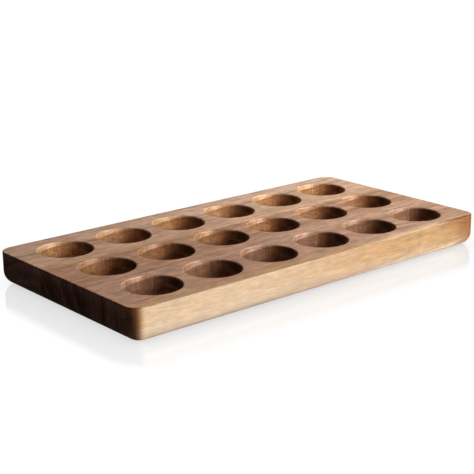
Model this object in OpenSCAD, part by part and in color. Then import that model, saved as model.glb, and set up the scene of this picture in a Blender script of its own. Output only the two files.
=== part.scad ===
// Egg holder tray: a solid wood board, edge-glued from three full-length staves,
// with a row of blind round cups sunk in each stave. It stands on its flat bottom.
//
// Frame: origin at the centre of the bottom face, +X along the board, +Y to the rear
// long side and +Z up. All sizes are in millimetres.

/* [Board] */
// Length of the board, along X
board_l = 311; // [306:1:330]
// Width of the board, along Y
board_w = 158; // [154:1:176]
// Thickness of the board
board_t = 23; // [18:0.5:30]
// Radius of the four upright corners, seen from above
corner_r = 10.5; // [10:0.5:16]
// Radius of the roundover along the bottom edge
bottom_round = 9.4; // [4:0.2:9.4]
// Radius of the sanded arris along the top edge
top_ease = 0.8; // [0.4:0.1:1.5]

/* [Cups] */
// Cups in a row, along X
cup_columns = 6; // [2:1:6]
// Distance from cup to cup along a row
cup_pitch_x = 48; // [44:0.5:49]
// Distance from row to row
cup_pitch_y = 49; // [46:0.5:51]
// Diameter of a cup
cup_d = 38; // [34:0.5:40]
// Depth of a cup
cup_depth = 11; // [9:0.5:13]
// Radius between a cup's wall and its floor
cup_floor_r = 6; // [3:0.5:7]
// Width of the sanded chamfer round a cup's rim
cup_rim_ease = 0.4; // [0.2:0.1:0.8]

/* [Glue joints] */
// Thickness of the glue line between two staves
glue_t = 0.2; // [0.1:0.05:0.3]

/* [Hidden] */
$fn = 96;
// How far a cutting solid runs past the face that it opens
overrun = 1;
side_y = board_w / 2;
joint_y = cup_pitch_y / 2;
wood_rear = [0.65, 0.49, 0.36];
wood_middle = [0.60, 0.45, 0.34];
wood_front = [0.80, 0.64, 0.46];
glue_brown = [0.36, 0.25, 0.17];

// Waste outside a rounded lower right corner: a square less the quarter circle
module corner_waste(r) {
    difference() {
        translate([-r, -overrun])
            square(r + overrun);
        translate([-r, r])
            circle(r = r);
    }
}

// Section of the board's edge, from a line `reach` inside the edge face. X runs out to
// the edge and Y runs up from the bottom face.
module edge_section(reach) {
    difference() {
        square([reach, board_t]);
        translate([reach, 0])
            corner_waste(bottom_round);
        translate([reach, board_t])
            mirror([0, 1])
                corner_waste(top_ease);
    }
}

// Straight bar along X, centred, with both long edges shaped
module shaped_bar(length, width) {
    rotate([90, 0, 90])
        linear_extrude(height = length, center = true)
            for (side = [0, 1])
                mirror([side, 0])
                    edge_section(width / 2);
}

// The board before its cups are cut: two shaped bars that cross, and a quarter turn of
// the same edge in each corner between them
module board_blank() {
    shaped_bar(board_l - 2 * corner_r, board_w);
    rotate(90)
        shaped_bar(board_w - 2 * corner_r, board_l);
    for (x = [0, 1], y = [0, 1])
        mirror([x, 0, 0])
            mirror([0, y, 0])
                translate([board_l / 2 - corner_r, board_w / 2 - corner_r, 0])
                    rotate_extrude(angle = 90)
                        edge_section(corner_r);
}

// Slice of the board between two planes across Y
module board_slice(y_from, y_to) {
    intersection() {
        board_blank();
        translate([-board_l / 2 - overrun, y_from, -overrun])
            cube([board_l + 2 * overrun, y_to - y_from, board_t + 2 * overrun]);
    }
}

// Half section of a cup, turned about X = 0, with the rim at Y = 0
module cup_section() {
    wall_x = cup_d / 2;
    rim_x = wall_x + cup_rim_ease;
    difference() {
        translate([0, -cup_depth])
            square([wall_x, cup_depth + overrun]);
        translate([wall_x, -cup_depth])
            corner_waste(cup_floor_r);
    }
    polygon([[0, -cup_rim_ease], [wall_x, -cup_rim_ease], [rim_x + overrun, overrun], [0, overrun]]);
}

// Row of cups along X at the given Y, sunk in the top face
module cup_row(y) {
    for (i = [0 : cup_columns - 1])
        translate([(i - (cup_columns - 1) / 2) * cup_pitch_x, y, board_t])
            rotate_extrude()
                cup_section();
}

// Stave between two planes across Y, with its row of cups at cup_y
module stave(y_from, y_to, cup_y) {
    difference() {
        board_slice(y_from, y_to);
        cup_row(cup_y);
    }
}

module stave_front() {
    color(wood_front)
        stave(-side_y - overrun, -joint_y - glue_t / 2, -cup_pitch_y);
}

module stave_middle() {
    color(wood_middle)
        stave(-joint_y + glue_t / 2, joint_y - glue_t / 2, 0);
}

module stave_rear() {
    color(wood_rear)
        stave(joint_y + glue_t / 2, side_y + overrun, cup_pitch_y);
}

// Film of glue that fills the joint between the front and middle staves
module glue_line_front() {
    color(glue_brown)
        board_slice(-joint_y - glue_t / 2, -joint_y + glue_t / 2);
}

// Film of glue that fills the joint between the middle and rear staves
module glue_line_rear() {
    color(glue_brown)
        board_slice(joint_y - glue_t / 2, joint_y + glue_t / 2);
}

stave_front();
glue_line_front();
stave_middle();
glue_line_rear();
stave_rear();
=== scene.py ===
"""Looks of the egg holder tray: solid oiled wood staves on a plain pale floor in soft studio light.

Everything is in metres in the frame of the CAD model, whose origin is the centre of the board's
bottom face, with +X along the grain and +Z up. Only the wood material counts in millimetres. Wood
colour and grain are worked out in three dimensions from the place in the board, so the figure
runs through from top to edge to cup.
"""

import math
from types import SimpleNamespace

import bpy
from mathutils import Matrix, Vector


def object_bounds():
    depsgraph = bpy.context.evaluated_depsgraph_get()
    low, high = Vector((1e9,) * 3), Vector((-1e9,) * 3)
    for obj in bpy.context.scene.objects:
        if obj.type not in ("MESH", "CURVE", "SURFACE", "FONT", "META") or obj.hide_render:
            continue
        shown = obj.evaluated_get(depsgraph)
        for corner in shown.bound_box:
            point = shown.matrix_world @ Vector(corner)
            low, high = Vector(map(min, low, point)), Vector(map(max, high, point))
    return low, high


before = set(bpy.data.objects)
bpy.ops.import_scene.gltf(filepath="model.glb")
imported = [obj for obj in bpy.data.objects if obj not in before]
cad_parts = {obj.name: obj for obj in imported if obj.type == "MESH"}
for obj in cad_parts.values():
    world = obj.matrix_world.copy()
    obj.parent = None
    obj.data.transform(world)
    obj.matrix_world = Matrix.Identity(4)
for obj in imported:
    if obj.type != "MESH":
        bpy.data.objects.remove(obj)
cad_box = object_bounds()

MM = 0.001
WHITE = (1, 1, 1, 1)


# ---------------------------------------------------------------- shader helpers
class Graph:
    """Adds nodes to a node tree. A value given to an input is a number, a colour or a socket."""

    def __init__(self, tree):
        self.tree = tree
        tree.nodes.clear()

    def add(self, kind, inputs=None, **settings):
        node = self.tree.nodes.new(kind)
        for name, value in settings.items():
            setattr(node, name, value)
        for name, value in (inputs or {}).items():
            self.feed(node.inputs[name], value)
        return node

    def feed(self, socket, value):
        if isinstance(value, bpy.types.NodeSocket):
            self.tree.links.new(value, socket)
        else:
            socket.default_value = value

    def math(self, operation, *values, clamp=False):
        node = self.add("ShaderNodeMath", operation=operation, use_clamp=clamp)
        for socket, value in zip(node.inputs, values):
            self.feed(socket, value)
        return node.outputs[0]

    def times(self, value, *factors, clamp=False):
        """The product of them all. clamp keeps it from 0 to 1 after each factor."""
        for factor in factors:
            value = self.math("MULTIPLY", value, factor, clamp=clamp)
        return value

    def line(self, value, slope, start):
        """slope * value + start"""
        return self.math("MULTIPLY_ADD", value, slope, start)

    def swing(self, value, reach, start):
        """start, plus reach times how far a noise is from its middle"""
        return self.line(self.math("SUBTRACT", value, 0.5), reach, start)

    def rest(self, value):
        """What value leaves of 1"""
        return self.math("SUBTRACT", 1.0, value)

    def step(self, value, low, high):
        """0 at low, 1 at high and smooth between them. low may be the larger of the two."""
        inputs = {"Value": value, "From Min": low, "From Max": high}
        return self.add("ShaderNodeMapRange", inputs, interpolation_type="SMOOTHSTEP").outputs[0]

    def vector(self, operation, *values, scale=None):
        node = self.add("ShaderNodeVectorMath", operation=operation)
        for socket, value in zip(node.inputs, values):
            self.feed(socket, value)
        if scale is not None:
            self.feed(node.inputs["Scale"], scale)
        name = "Value" if operation in ("LENGTH", "DOT_PRODUCT") else "Vector"
        return node.outputs[name]

    def combine(self, x, y, z):
        return self.add("ShaderNodeCombineXYZ", {"X": x, "Y": y, "Z": z}).outputs[0]

    def split(self, vector):
        return self.add("ShaderNodeSeparateXYZ", {"Vector": vector}).outputs

    def noise(self, vector, size=None, scale=1.0, detail=2.0, roughness=0.5, output="Fac"):
        """Noise whose blobs are about size (x, y, z) long, in the unit of the vector."""
        if size is not None:
            vector = self.vector("DIVIDE", vector, size)
        inputs = {"Vector": vector, "Scale": scale, "Detail": detail, "Roughness": roughness}
        return self.add("ShaderNodeTexNoise", inputs).outputs[output]

    def mix(self, factor, a, b, blend="MIX"):
        node = self.add("ShaderNodeMix", data_type="RGBA", blend_type=blend)
        for socket, value in ((node.inputs[0], factor), (node.inputs[6], a), (node.inputs[7], b)):
            self.feed(socket, value)
        return node.outputs[2]

    def tint(self, factor, base, tint):
        """base, which tint is multiplied into by factor"""
        return self.mix(factor, base, tint, "MULTIPLY")

    def curve(self, value, stops):
        """Smooth curve through grey levels, given as (place, level)."""
        node = self.add("ShaderNodeValToRGB", {"Fac": value})
        band = node.color_ramp
        band.interpolation = "B_SPLINE"
        while len(band.elements) < len(stops):
            band.elements.new(0.5)
        for element, (place, level) in zip(band.elements, stops):
            element.position = place
            element.color = (level, level, level, 1)
        return node.outputs[0]

    def surface(self, shader):
        self.add("ShaderNodeOutputMaterial", {"Surface": shader.outputs[0]})


def new_material(name):
    material = bpy.data.materials.new(name)
    material.use_nodes = True
    return material, Graph(material.node_tree)


def colour(r, g, b):
    return (r, g, b, 1.0)


# ---------------------------------------------------------------- colours of the wood
STREAK = colour(0.16, 0.075, 0.04)  # latewood, thin streaks and dark veins
PORE = colour(0.11, 0.055, 0.03)
GOLD = colour(0.70, 0.425, 0.25)  # pale veins
STAIN = colour(0.28, 0.095, 0.012)  # brown that has crept into the sapwood at the right end
# painted reflection of the pale floor, laid low on the long sides
FLOOR_REFLECTION = colour(0.78, 0.76, 0.71)
# from the heartwood out to the sapwood, each at the board's left end and at its right end
AMBER = colour(0.60, 0.345, 0.18)
FAR_AMBER = colour(0.69, 0.445, 0.275)
HONEY = colour(0.60, 0.345, 0.165)
FAR_HONEY = colour(0.44, 0.245, 0.085)
SAPWOOD = colour(0.58, 0.40, 0.24)
FAR_SAPWOOD = colour(0.44, 0.26, 0.105)

# The rest are tints, which are multiplied into the colour below them.
COOL = colour(0.985, 0.975, 1.01)  # these two drift slowly over the heartwood
WARM = colour(1.03, 0.985, 0.95)
PINK = colour(0.99, 0.94, 0.92)  # these two are blotches in the sapwood
STRAW = colour(1.03, 1.05, 1.05)
FAR_END = colour(1.3, 1.38, 1.42)  # the heartwood is paler towards the right end, partly its tone and partly painted light
END_GRAIN = colour(0.30, 0.24, 0.26)  # dark, because it drinks more oil
CORNER_GRAIN_AND_SHADE = colour(0.90, 0.71, 0.55)  # upright corners, darker and redder: partly where end grain begins, partly painted shade
CORNER_LIGHT = colour(1.25, 1.22, 1.18)  # painted light on the part of those corners next to the long sides
WORN = colour(1.45, 1.4, 1.3)  # the board's arrises
# inside the cups
# end grain inside the cups, far darker than the board's ends: partly end grain, partly painted shade
CUP_END_GRAIN_AND_SHADE = colour(0.09, 0.06, 0.04)
CUP_SHADE = colour(0.80, 0.70, 0.64)  # painted shade on walls that face the left end, and on floors
LIT_WALL_SHADE = colour(0.80, 0.83, 0.86)  # painted shade that dims the lit walls facing the right end
RIM_BAND_SHADE = colour(0.84, 0.82, 0.78)  # painted shade on a band below the rim
ROSY = colour(1.0, 0.93, 0.93)  # these two are patches
GILT = colour(1.05, 1.03, 0.88)

# ---------------------------------------------------------------- sizes in the wood, in millimetres
# the cups, as the CAD model has them
PITCH_X = 48
PITCH_Y = 49
CUP_RADIUS = 19
# how far apart in the noise two boards lie whose seeds differ by 1
SEED_SHIFT = 57

# noises, by the length of their blobs along the grain, across it and up
WANDER = (150, 34, 34)
RIPPLE = (38, 11, 11)
COARSE = (70, 1.4, 1.4)
MOTTLE = (17, 3.2, 3.2)
FLECKS = (8, 0.95, 0.95)
FINE = (20, 0.42, 0.42)
PORES = (6, 0.3, 0.3)
FIGURE = (7, 16, 16)
HUE = (26, 6, 6)
BLOTCH = (8, 2.4, 2.4)
CUP_PATCH = (7, 7, 12)
CUP_SPECKLE = (1.3, 1.3, 1.3)
RAYS = (40, 1.5, 8)

# how far the ripple pushes the grain aside
RIPPLE_REACH = 1.3
# noises across the rings, by the width of their bands, and the length of those bands
UNEVEN_WIDTH = 9
BAND_WIDTH = 7
STREAK_WIDTH = 1.7
BAND_LENGTH = 420
# how many rings they are pushed out of step, and how far the sapwood's inner side wavers
UNEVEN_RINGS = 2.2
SAP_WAVER = 4
# The cutter's marks are a noise too. A walk round a cup is a circle in it with this radius.
MARKS_CIRCLE = (30, 30, 0)
MARK_LENGTH = 30
# how far apart in that noise two cups of a row lie that are neighbours
CUP_SHIFT = 5.3
# the radius that sharp edges are shaded with, and the depth of the fibres' relief
ARRIS = 0.9
RELIEF = 0.05

# how a ring darkens from its inner side, 0, to its outer side, 1
RING = ((0.0, 0.15), (0.5, 0.0), (0.86, 1.0), (1.0, 0.3))
# the middle of a colour noise
MIDDLE = (0.5, 0.5, 0.5)

# Ranges for Graph.step. These are depths into the sapwood, so negative ones are in the heartwood.
AMBER_DEPTH = (-10, -4)
STAIN_DEPTH = (-7, -3)
HONEY_DEPTH = (-3, -1)
CALM_DEPTH = (-3, 0)
SAP_DEPTH = (-1, 0.8)
# These are places along X.
FAR_END_X = (-60, 70)
AMBER_X = (20, 70)
HONEY_X = (-20, 115)
SAP_X = (-90, 140)
STAIN_X = (125, 158)
CORNER_LIGHT_X = (120, 20)  # the painted corner light fades towards the right end
# where the painted floor reflection fades out towards the right end
FLOOR_REFLECTION_X = (60, 140)
# Nothing past these, out towards the board's edges or below the floors, is in a cup.
CUPS_X = (145, 143)
CUPS_Y = (74, 72)
CUPS_Z = (10, 11)
# a cup's wall and floor, the same with its rim, and its wall alone, by distance from its axis
INNER = (CUP_RADIUS + 0.3, CUP_RADIUS + 0.1)
WITH_RIM = (CUP_RADIUS + 1.4, CUP_RADIUS + 1.0)
WALL = (14, 18)
# heights where a cup's fresh wood ends, where painted shade darkens a band below its rim, and where
# painted light makes end grain paler
FRESH_Z = (22.9, 21.5)
RIM_BAND_SHADE_Z = (19, 21.5)
END_TOP_LIGHT_Z = (14, 23)
# These are levels of a noise, whose middle is 0.5.
BAND_LEVELS = (0.32, 0.68)
HUE_LEVELS = (0.36, 0.62)
PATCH_LEVELS = (0.36, 0.60)
MARKED_LEVELS = (0.38, 0.58)
MARK_LEVELS = (0.34, 0.62)
STREAK_LEVELS = (0.60, 0.72)
PORE_LEVELS = (0.66, 0.74)
WORN_LEVELS = (0.3, 0.62)
# These are parts of a face's normal: Z, X, Z and X.
UPRIGHT = (0.9, 0.3)
# where painted shade falls on the cups' walls and floors
CUP_SHADE_WALL = (-0.05, -0.9)
CUP_SHADE_FLOOR = (0.3, 0.9)
# where painted shade dims the lit walls
LIT_WALL = (-0.15, 0.25)
# These are turns, from a long side, 0, round an upright corner to a short end, 1.
END_TURN = (0.40, 0.82)
STAIN_TURN = (0.2, 0.7)
# where the corners are darker, partly as painted shade
CORNER_BEGINS = (0.3, 0.6)
CORNER_ENDS = (1.0, 0.75)
# where painted light falls on the corners
CORNER_LIGHT_BEGINS = (0.02, 0.25)
CORNER_LIGHT_ENDS = (0.62, 0.40)
# how far a face's normal is from the one with rounded edges, as 1 less their dot product
EDGE = (0.01, 0.22)

# how strongly each noise lightens and darkens the wood
FINE_REACH = 0.85
COARSE_REACH = 0.3
FLECKS_REACH = 1.15
MOTTLE_REACH = 0.9
FIGURE_REACH = 0.4
# how much of these the sapwood lacks
SAP_CALM = 0.5
# how strongly the speckle does so inside the cups
SPECKLE_REACH = 0.7
# how much of a colour is laid over the wood
HEART_LATEWOOD = 0.16
LATEWOOD = 0.08
THIN_STREAKS = 0.4
DARK_PORES = 0.5
FRESH_WOOD = 0.4
WORN_EDGE = 0.4
# the painted reflection of the pale floor on the lower long sides: the height where it begins, how
# much it grows per millimetre below it, the most it reaches, and how much is missing at the right end
FLOOR_REFLECTION_TOP = 13
FLOOR_REFLECTION_GROWTH = 0.026
FLOOR_REFLECTION_MOST = 0.25
FLOOR_REFLECTION_FADE = 0.7
# how far the stain moves along X for each step up
STAIN_LEAN = 0.9
# The next ones are a slope and a start, for Graph.line.
# how strong the stain is, by the coarse fibres and by how far round the corner it is
STAIN_FIBRES = (0.6, 0.7)
STAIN_CORNER = (0.25, 0.95)
# how strong the cutter's marks are, by the cup's patches and by how far a wall is across the grain
MARKS_BY_PATCH = (0.9, 0.35)
MARKS_BY_GRAIN = (0.5, 0.25)
# how pale the end grain is, by the bands and by the rays
END_BANDS = (2.4, -0.42)
END_RAYS = (1.2, 0.4)
# ... and how much paler painted light makes it near the top
END_TOP_LIGHT = 0.7
# roughness of bare wood, and what the fine fibres, edges and cups add to it
ROUGH = 0.40
ROUGH_FIBRES = 0.16
ROUGH_EDGE = 0.43
ROUGH_ARRIS = -0.15  # on top of ROUGH_EDGE, where the edge isn't a cup's
ROUGH_CUP = -0.13
# what end grain, cups and edges add to a sheen of 1
SHEEN_END = -0.85
SHEEN_CUP = 0.9
SHEEN_EDGE = -0.75


# ---------------------------------------------------------------- wood
def board_place(g, slope, sway, seed):
    """Place of a point in the board in millimetres.

    at has the grain's lean taken in, shifted is that place in the noises of this board, and grain
    is the same with the wander and the ripple of the fibres."""
    place = g.add("ShaderNodeTexCoord").outputs["Object"]
    x, y, z = g.split(g.vector("SCALE", place, scale=1 / MM))
    at = g.combine(x, g.line(x, slope, y), z)
    shifted = g.vector("ADD", at, (0, 0, SEED_SHIFT * seed))
    grain = shifted
    for size, detail, reach in ((WANDER, 3, sway), (RIPPLE, 2, RIPPLE_REACH)):
        drift = g.noise(shifted, size, detail=detail, output="Color")
        drift = g.vector("SUBTRACT", drift, MIDDLE)
        grain = g.vector("ADD", grain, g.vector("MULTIPLY", drift, (0, reach, reach)))
    return SimpleNamespace(x=x, y=y, z=z, at=at, shifted=shifted, grain=grain)


def faces_of(g):
    """Which way a face looks.

    turn is 0 on the long sides and flats, and 1 on the short ends. upright is 0 on faces that look
    up and 1 on the rest."""
    normal = g.add("ShaderNodeNewGeometry").outputs["Normal"]
    x, y, z = g.split(normal)
    across_grain = g.math("ABSOLUTE", x)
    level = g.vector("LENGTH", g.combine(x, y, 0))
    turn = g.math("DIVIDE", across_grain, g.math("MAXIMUM", level, 0.05))
    return SimpleNamespace(
        normal=normal, x=x, z=z, across_grain=across_grain, turn=turn, upright=g.step(z, *UPRIGHT))


def cup_places(g, spot):
    """Where a point is in the nearest cup, as cell, which is measured from the cup's axis.

    inner is 1 on the cup's wall and floor. outside is 0 there and on its rim, and 1 elsewhere."""
    cell_x = g.math("SUBTRACT", g.math("WRAP", spot.x, PITCH_X, 0), PITCH_X / 2)
    cell_y = g.math("WRAP", spot.y, PITCH_Y / 2, -PITCH_Y / 2)
    cell = g.combine(cell_x, cell_y, 0)
    from_axis = g.vector("LENGTH", cell)
    inboard = g.times(
        g.step(g.math("ABSOLUTE", spot.x), *CUPS_X),
        g.step(g.math("ABSOLUTE", spot.y), *CUPS_Y),
        g.step(spot.z, *CUPS_Z))
    outside = g.rest(g.times(inboard, g.step(from_axis, *WITH_RIM)))
    inner = g.times(inboard, g.step(from_axis, *INNER), g.step(spot.z, *FRESH_Z))
    patch = g.noise(spot.shifted, CUP_PATCH)
    return SimpleNamespace(cell=cell, from_axis=from_axis, outside=outside, inner=inner, patch=patch)


def fibres(g, spot):
    """Fibres at several sizes, a faint figure across them, and pores as dark dashes along the grain."""
    pores = g.noise(spot.grain, PORES, detail=1)
    return SimpleNamespace(
        coarse=g.noise(spot.grain, COARSE),
        fine=g.noise(spot.grain, FINE, roughness=0.6),
        mottle=g.noise(spot.grain, MOTTLE, roughness=0.6),
        flecks=g.noise(spot.grain, FLECKS, roughness=0.6),
        figure=g.noise(spot.shifted, FIGURE),
        pores=g.step(pores, *PORE_LEVELS))


def growth_rings(g, spot, pith, ring, sap_from, seed):
    """Rings of uneven width round the pith line, and broader bands of light and dark wood.

    depth is how far into the sapwood a place is."""
    centre = (0, pith[0], pith[1] + SEED_SHIFT * seed)
    across, up = g.split(g.vector("SUBTRACT", spot.grain, centre))[1:3]
    radius = g.vector("LENGTH", g.combine(0, across, up))
    uneven = g.noise(g.combine(g.math("DIVIDE", radius, UNEVEN_WIDTH), seed, 0))
    phase = g.math("FRACT", g.line(uneven, UNEVEN_RINGS, g.math("DIVIDE", radius, ring)))
    along = g.math("DIVIDE", spot.x, BAND_LENGTH)
    bands = g.combine(g.math("DIVIDE", radius, BAND_WIDTH), along, seed)
    bands = g.noise(bands, detail=3, roughness=0.6)
    streaks = g.noise(g.combine(g.math("DIVIDE", radius, STREAK_WIDTH), along, seed), detail=1)
    return SimpleNamespace(
        radius=radius,
        latewood=g.curve(phase, RING),
        bands=bands,
        streaks=g.step(streaks, *STREAK_LEVELS),
        depth=g.math("SUBTRACT", g.line(bands, SAP_WAVER, radius), sap_from))


def heartwood(g, spot, rings, fibre, light, dark, veins):
    """Brown wood in light and dark bands, with latewood lines, thin streaks and single veins."""
    heart = g.mix(g.step(rings.bands, *BAND_LEVELS), dark, light)
    heart = g.mix(g.times(rings.latewood, HEART_LATEWOOD), heart, STREAK)
    heart = g.mix(g.times(rings.streaks, fibre.flecks, THIN_STREAKS), heart, STREAK)
    for radius, width, strength, vein_colour in veins:
        off = g.math("ABSOLUTE", g.math("SUBTRACT", rings.radius, radius))
        vein = g.step(off, width, width * 0.2)
        vein = g.times(vein, g.line(fibre.flecks, strength, strength / 2))
        heart = g.mix(vein, heart, vein_colour)
    hue = g.noise(spot.shifted, HUE, detail=3)
    return g.tint(1.0, heart, g.mix(g.step(hue, *HUE_LEVELS), COOL, WARM))


def sapwood(g, spot):
    """Pale wood with small blotches, which is darker towards the right end."""
    sap = g.mix(g.step(spot.x, *SAP_X), SAPWOOD, FAR_SAPWOOD)
    blotch = g.noise(spot.shifted, BLOTCH, detail=3, roughness=0.6)
    return g.tint(1.0, sap, g.mix(g.step(blotch, *HUE_LEVELS), PINK, STRAW))


def plain_wood(g, spot, rings, fibre, faces, heart):
    """Heartwood that turns amber and honey towards the sapwood, with a stain at the right end."""
    amber = g.mix(g.step(spot.x, *AMBER_X), AMBER, FAR_AMBER)
    base = g.mix(g.step(rings.depth, *AMBER_DEPTH), heart, amber)
    # paler heartwood towards the right end: partly its tone, partly painted light
    base = g.tint(g.step(spot.x, *FAR_END_X), base, FAR_END)
    honey = g.mix(g.step(spot.x, *HONEY_X), HONEY, FAR_HONEY)
    base = g.mix(g.times(g.step(rings.depth, *HONEY_DEPTH), faces.upright), base, honey)
    base = g.mix(g.step(rings.depth, *SAP_DEPTH), base, sapwood(g, spot))

    # the stain leans with height and is strongest round the corner
    leaning = g.math("ADD", spot.x, g.times(spot.z, STAIN_LEAN))
    stained = g.times(g.step(leaning, *STAIN_X), g.step(rings.depth, *STAIN_DEPTH))
    stained = g.times(stained, g.line(fibre.coarse, *STAIN_FIBRES))
    round_corner = g.line(g.step(faces.turn, *STAIN_TURN), *STAIN_CORNER)
    stained = g.times(stained, round_corner, clamp=True)
    base = g.mix(stained, base, STAIN)
    return g.mix(g.times(rings.latewood, LATEWOOD), base, STREAK)


def cup_wood(g, spot, faces, cups, base, light, in_cups):
    """Wood that the cups lay bare, which is fresher than the board's faces, with painted shade on it.
    """
    fresh = g.tint(1.0, g.mix(FRESH_WOOD, base, light), in_cups)
    # painted shade on the walls that face the left end and on the floors
    painted_cup_shade = g.math("MAXIMUM", g.step(faces.x, *CUP_SHADE_WALL), g.step(faces.z, *CUP_SHADE_FLOOR))
    fresh = g.tint(painted_cup_shade, fresh, CUP_SHADE)
    # painted shade that dims the lit walls which face the right end
    fresh = g.tint(g.step(faces.x, *LIT_WALL), fresh, LIT_WALL_SHADE)
    # painted shade on a band below the rim
    fresh = g.tint(g.step(spot.z, *RIM_BAND_SHADE_Z), fresh, RIM_BAND_SHADE)
    fresh = g.tint(1.0, fresh, g.mix(g.step(cups.patch, *PATCH_LEVELS), ROSY, GILT))
    return g.mix(cups.inner, base, fresh)


def cutter_marks(g, spot, faces, cups, seed):
    """Faint upright marks from the cutter on the cups' walls, and a fine speckle, about zero."""
    wall = g.times(cups.inner, g.step(cups.from_axis, *WALL))
    wall = g.times(wall, g.line(g.step(cups.patch, *MARKED_LEVELS), *MARKS_BY_PATCH))
    column = g.math("FLOOR", g.math("DIVIDE", spot.x, PITCH_X))
    cup = g.combine(g.line(column, CUP_SHIFT, seed), 0, g.math("DIVIDE", spot.z, MARK_LENGTH))
    turned = g.vector("MULTIPLY", g.vector("NORMALIZE", cups.cell), MARKS_CIRCLE)
    marks = g.noise(g.vector("ADD", turned, cup), detail=3, roughness=0.65)
    marks = g.step(marks, *MARK_LEVELS)
    marks = g.swing(marks, g.times(wall, g.line(faces.across_grain, *MARKS_BY_GRAIN)), 0)
    speckle = g.noise(spot.at, CUP_SPECKLE, roughness=0.6)
    return g.swing(speckle, g.times(cups.inner, SPECKLE_REACH), marks)


def shaded_by_fibres(g, rings, fibre, marks, base):
    """Lighter and darker fibres, which are calmer in the sapwood, and the marks in the cups."""
    calm = g.line(g.step(rings.depth, *CALM_DEPTH), -SAP_CALM, 1.0)
    lines = g.swing(fibre.fine, FINE_REACH, 0)
    lines = g.swing(fibre.coarse, COARSE_REACH, lines)
    lines = g.swing(fibre.flecks, FLECKS_REACH, lines)
    lines = g.swing(fibre.mottle, MOTTLE_REACH, lines)
    shade = g.line(lines, calm, 1.0)
    shade = g.times(shade, g.swing(fibre.figure, g.times(calm, FIGURE_REACH), 1.0))
    shade = g.times(shade, g.math("ADD", marks, 1.0))
    base = g.tint(1.0, base, g.combine(shade, shade, shade))
    return g.mix(g.times(fibre.pores, calm, DARK_PORES), base, PORE)


def end_grain(g, spot, rings, faces, cups, facing, base):
    """Faces across the grain drink more oil, so they are darker. Their rays stand upright. The board's
    ends get painted light near the top, and the cups' end walls are far darker, partly as painted
    shade.

    The corners beside them are darker and redder, partly as end grain begins and partly as painted
    shade, and get painted light next to the long side."""
    rays = g.noise(spot.shifted, RAYS, roughness=0.6)
    # painted light, paler towards the top of the board's ends
    paler = g.times(g.step(spot.z, *END_TOP_LIGHT_Z), END_TOP_LIGHT)
    ends = g.math("ADD", g.line(rings.bands, *END_BANDS), paler)
    ends = g.times(ends, g.line(rays, *END_RAYS))
    drunk = g.tint(1.0, END_GRAIN, g.combine(ends, ends, ends))
    # the cups' end walls are darkened much more: partly end grain, partly painted shade
    base = g.tint(facing, base, g.mix(cups.inner, drunk, CUP_END_GRAIN_AND_SHADE))
    # the corners are darker and redder, partly as end grain begins and partly as painted shade
    corner = g.times(g.step(faces.turn, *CORNER_BEGINS), g.step(faces.turn, *CORNER_ENDS))
    base = g.tint(g.times(corner, cups.outside), base, CORNER_GRAIN_AND_SHADE)
    # painted light on the corners next to the long sides, towards the left end
    corner_light = g.times(g.step(faces.turn, *CORNER_LIGHT_BEGINS), g.step(faces.turn, *CORNER_LIGHT_ENDS))
    corner_light = g.times(corner_light, cups.outside, g.step(spot.x, *CORNER_LIGHT_X))
    return g.tint(corner_light, base, CORNER_LIGHT)


def painted_floor_reflection(g, spot, facing, base):
    """Painted reflection of the pale floor: the long sides are made paler towards the bottom."""
    floor_reflection = g.times(g.math("SUBTRACT", FLOOR_REFLECTION_TOP, spot.z), FLOOR_REFLECTION_GROWTH, clamp=True)
    floor_reflection = g.math("MINIMUM", g.times(floor_reflection, g.rest(facing)), FLOOR_REFLECTION_MOST)
    floor_reflection = g.times(floor_reflection, g.line(g.step(spot.x, *FLOOR_REFLECTION_X), -FLOOR_REFLECTION_FADE, 1.0))
    return g.mix(floor_reflection, base, FLOOR_REFLECTION)


def oiled_surface(g, fibre, faces, cups, facing, base):
    """Satin shader, with arrises that handling has worn paler and duller."""
    soft = g.add("ShaderNodeBevel", {"Radius": ARRIS * MM}, samples=6).outputs[0]
    edge = g.step(g.rest(g.vector("DOT_PRODUCT", soft, faces.normal)), *EDGE)
    worn = g.times(edge, cups.outside, g.step(fibre.figure, *WORN_LEVELS))
    base = g.tint(g.times(worn, WORN_EDGE), base, WORN)

    rough = g.line(fibre.fine, ROUGH_FIBRES, ROUGH)
    rough = g.line(edge, g.line(cups.outside, ROUGH_ARRIS, ROUGH_EDGE), rough)
    rough = g.line(cups.inner, ROUGH_CUP, rough)
    sheen = g.times(
        g.line(facing, SHEEN_END, 1.0),
        g.line(cups.inner, SHEEN_CUP, 1.0),
        g.line(edge, SHEEN_EDGE, 1.0))
    relief = g.math("SUBTRACT", fibre.fine, g.times(fibre.pores, 0.9))
    bump = {"Height": relief, "Strength": 0.5, "Distance": RELIEF * MM, "Normal": soft}
    bump = g.add("ShaderNodeBump", bump).outputs[0]
    inputs = {"Base Color": base, "Roughness": rough, "Normal": bump, "Specular IOR Level": sheen}
    return g.add("ShaderNodeBsdfPrincipled", inputs)


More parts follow.
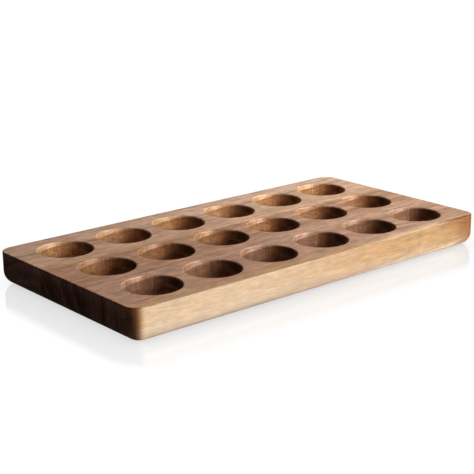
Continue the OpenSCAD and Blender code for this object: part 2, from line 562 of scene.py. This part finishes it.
def wood(name, pith, ring, sap_from, slope, sway, seed, light, dark, veins, in_cups):
    """Solid wood with its rings round a pith line that runs along X.

    pith is that line's (y, z), ring the mean ring width and sap_from the radius where the pale
    sapwood starts, all in millimetres. slope is how far the grain leans across the board, and sway
    how far it wanders. light and dark are the two heartwood colours. veins are single lines, each
    given as its radius, half width, strength and colour. in_cups is the tint of the fresh wood
    inside the cups."""
    material, g = new_material(name)
    spot = board_place(g, slope, sway, seed)
    faces = faces_of(g)
    cups = cup_places(g, spot)
    fibre = fibres(g, spot)
    rings = growth_rings(g, spot, pith, ring, sap_from, seed)

    # how far a face shows end grain: the board's ends and corners, and the cups' end walls
    facing = g.times(cups.outside, g.step(faces.turn, *END_TURN))
    facing = g.line(cups.inner, g.math("POWER", faces.across_grain, 4.0), facing)

    heart = heartwood(g, spot, rings, fibre, light, dark, veins)
    base = plain_wood(g, spot, rings, fibre, faces, heart)
    base = cup_wood(g, spot, faces, cups, base, light, in_cups)
    marks = cutter_marks(g, spot, faces, cups, seed)
    base = shaded_by_fibres(g, rings, fibre, marks, base)
    base = end_grain(g, spot, rings, faces, cups, facing, base)
    # painted reflection of the pale floor on the lower long sides
    base = painted_floor_reflection(g, spot, facing, base)
    g.surface(oiled_surface(g, fibre, faces, cups, facing, base))
    return material


def glue(name, dark, light):
    """Cured wood glue, seen as a thin line between two staves."""
    material, g = new_material(name)
    place = g.add("ShaderNodeTexCoord").outputs["Object"]
    base = g.mix(g.noise(place, scale=220, detail=3), dark, light)
    g.surface(g.add("ShaderNodeBsdfPrincipled", {"Base Color": base, "Roughness": 0.55}))
    return material


FINISHES = {
    "stave_front": wood(
        "wood_front", pith=(22, 14), ring=3.4, sap_from=103.2, slope=0.018, sway=4, seed=3.0,
        light=colour(0.62, 0.373, 0.25),
        dark=colour(0.475, 0.268, 0.17),
        veins=((62, 1.1, 0.45, STREAK), (73, 1.0, 0.25, STREAK)),
        in_cups=colour(0.90, 0.86, 0.82)),
    "stave_middle": wood(
        "wood_middle", pith=(96, -30), ring=3.0, sap_from=400, slope=0.0, sway=9, seed=11.0,
        light=colour(0.61, 0.352, 0.225),
        dark=colour(0.45, 0.252, 0.15),
        veins=(
            (97.6, 1.2, 0.4, STREAK), (104.4, 1.0, 0.4, STREAK),
            (117.6, 2.5, 0.35, STREAK), (90, 5, 0.8, GOLD)),
        in_cups=colour(1.02, 0.94, 0.79)),
    "stave_rear": wood(
        "wood_rear", pith=(30, -50), ring=3.8, sap_from=400, slope=-0.01, sway=9, seed=23.0,
        light=colour(0.67, 0.433, 0.295),
        dark=colour(0.528, 0.322, 0.216),
        veins=((77.8, 0.8, 0.4, STREAK), (73, 2.5, 0.35, GOLD)),
        in_cups=colour(1.27, 1.19, 0.92)),
    "glue_line_front": glue("glue_front", colour(0.10, 0.055, 0.03), colour(0.24, 0.14, 0.08)),
    "glue_line_rear": glue("glue_rear", colour(0.22, 0.12, 0.065), colour(0.36, 0.21, 0.115)),
}
for node_name, finish in FINISHES.items():
    cad_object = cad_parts[node_name]
    cad_object.data.materials.clear()
    cad_object.data.materials.append(finish)


# ---------------------------------------------------------------- camera
low, high = cad_box
board_top = high[2]
# Angles are in degrees. Azimuth 0 is in front of the board, and it grows to the right.
CAMERA_AZIMUTH = -40.36
CAMERA_ELEVATION = 16.77
CAMERA_ROLL = -0.41
CAMERA_DISTANCE = 0.824
CAMERA_LENS = 90.3
CAMERA_SENSOR = 36
CAMERA_AIM = Vector((-0.0157, -0.0064, board_top))


def direction(azimuth, elevation):
    """Unit vector from the board towards a place at that azimuth and elevation."""
    azimuth = math.radians(azimuth)
    elevation = math.radians(elevation)
    flat = math.cos(elevation)
    return Vector((math.sin(azimuth) * flat, -math.cos(azimuth) * flat, math.sin(elevation)))


def add_object(name, data):
    thing = bpy.data.objects.new(name, data)
    bpy.context.scene.collection.objects.link(thing)
    return thing


def place_camera():
    data = bpy.data.cameras.new("camera")
    data.lens = CAMERA_LENS
    data.sensor_width = CAMERA_SENSOR
    camera = add_object("camera", data)
    back = direction(CAMERA_AZIMUTH, CAMERA_ELEVATION)
    level = direction(CAMERA_AZIMUTH + 90, 0)
    upright = back.cross(level)
    roll = math.radians(CAMERA_ROLL)
    right = math.cos(roll) * level + math.sin(roll) * upright
    above = back.cross(right)
    matrix = Matrix((right, above, back)).transposed().to_4x4()
    matrix.translation = CAMERA_AIM + CAMERA_DISTANCE * back
    camera.matrix_world = matrix
    bpy.context.scene.camera = camera


# ---------------------------------------------------------------- floor and light
FLOOR_HALF = 6.0
FLOOR_GAP = 0.02 * MM
# how far the floor's painted contact shadow reaches
CONTACT_SHADOW_REACH = 0.045
# the floor's shine fades out over this range of distances from the board
SHINE_FADE = (0.037, 0.022)
# ... which is shorter past the board's ends than in front of it, by this much
FADE_STRETCH = (1.35, 1, 1)
WALL_RADIUS = 5.0
WALL_HEIGHT = 4.0
WALL_SIDES = 48
# what the lamps leave dark gets this little light from all round
AMBIENT = 0.008
KEY_AZIMUTH = CAMERA_AZIMUTH + 65


def floor_material():
    """White glow with a painted contact shadow near the board, under a polish that fades away from the
    board.
    """
    material, g = new_material("floor")
    # painted contact shadow: occlusion dims the floor's glow near the board
    contact_shadow = g.add("ShaderNodeAmbientOcclusion", {"Distance": CONTACT_SHADOW_REACH}).outputs["AO"]
    glow = g.add("ShaderNodeEmission", {"Color": WHITE, "Strength": g.line(contact_shadow, 0.24, 0.78)})
    gloss = g.add("ShaderNodeBsdfGlossy", {"Color": WHITE, "Roughness": 0.06})
    place = g.vector("ABSOLUTE", g.add("ShaderNodeTexCoord").outputs["Object"])
    beyond = g.vector("SUBTRACT", place, (high[0], high[1], 0))
    beyond = g.vector("MULTIPLY", g.vector("MAXIMUM", beyond, (0, 0, 0)), FADE_STRETCH)
    fade = g.step(g.vector("LENGTH", beyond), *SHINE_FADE)
    shine = g.times(g.add("ShaderNodeFresnel", {"IOR": 1.45}).outputs[0], fade)
    g.surface(g.add("ShaderNodeMixShader", {0: shine, 1: glow.outputs[0], 2: gloss.outputs[0]}))
    return material


def floor():
    """Plain white floor, which takes a soft reflection of the board and gives it no light."""
    mesh = bpy.data.meshes.new("floor")
    signs = ((-1, -1), (1, -1), (1, 1), (-1, 1))
    mesh.from_pydata([(FLOOR_HALF * i, FLOOR_HALF * j, 0) for i, j in signs], [], [(0, 1, 2, 3)])
    mesh.materials.append(floor_material())
    plane = add_object("floor", mesh)
    plane.location.z = low[2] - FLOOR_GAP
    plane.visible_diffuse = False
    plane.visible_glossy = False
    plane.visible_shadow = False
    return plane


def backdrop(floor_plane):
    """White wall all round, which only the polished floor mirrors."""
    angles = [math.tau * i / WALL_SIDES for i in range(WALL_SIDES)]
    ring = [(WALL_RADIUS * math.cos(a), WALL_RADIUS * math.sin(a)) for a in angles]
    corners = [(x, y, z) for z in (0, WALL_HEIGHT) for x, y in ring]
    after = [(i + 1) % WALL_SIDES for i in range(WALL_SIDES)]
    faces = [(i, j, WALL_SIDES + j, WALL_SIDES + i) for i, j in enumerate(after)]
    mesh = bpy.data.meshes.new("backdrop")
    mesh.from_pydata(corners, [], faces)
    material, g = new_material("backdrop")
    g.surface(g.add("ShaderNodeEmission", {"Color": WHITE, "Strength": 1.0}))
    mesh.materials.append(material)
    wall = add_object("backdrop", mesh)
    wall.visible_camera = False
    wall.visible_diffuse = False
    wall.visible_shadow = False
    lit = bpy.data.collections.new("backdrop_lights")
    lit.objects.link(floor_plane)
    wall.light_linking.receiver_collection = lit


def room():
    """White to the camera, and otherwise nearly dark, so that the lamps alone shape the wood."""
    world = bpy.data.worlds.new("studio")
    bpy.context.scene.world = world
    world.use_nodes = True
    g = Graph(world.node_tree)
    seen = g.add("ShaderNodeLightPath").outputs["Is Camera Ray"]
    strength = g.line(seen, 1 - AMBIENT, AMBIENT)
    background = g.add("ShaderNodeBackground", {"Color": WHITE, "Strength": strength})
    g.add("ShaderNodeOutputWorld", {"Surface": background.outputs[0]})


def softbox(name, azimuth, elevation, distance, width, height, power, mirrored=False):
    """Rectangular lamp aimed at the middle of the board. mirrored is whether gloss shows it."""
    lamp = bpy.data.lights.new(name, "AREA")
    lamp.shape = "RECTANGLE"
    lamp.size = width
    lamp.size_y = height
    lamp.energy = power
    box = add_object(name, lamp)
    towards = direction(azimuth, elevation)
    box.location = Vector((0, 0, board_top)) + distance * towards
    box.rotation_euler = towards.to_track_quat("Z", "Y").to_euler()
    box.visible_camera = False
    box.visible_glossy = mirrored


place_camera()
backdrop(floor())
room()
softbox("key", KEY_AZIMUTH, 5.7, 2.4, 0.24, 0.10, 42, mirrored=True)
softbox("high_key", KEY_AZIMUTH, 24, 1.2, 0.5, 0.3, 7.8)
softbox("back", CAMERA_AZIMUTH + 180, 45, 1.2, 0.6, 0.5, 12)
softbox("rear", 180, -6, 1.2, 0.5, 0.3, 2.5)
softbox("floor_bounce", KEY_AZIMUTH, -38, 2.4, 0.8, 0.4, 22)
softbox("floor_bounce_left", -90, -25, 1.2, 0.8, 0.5, 1.1)
bpy.context.scene.view_settings.view_transform = "Standard"
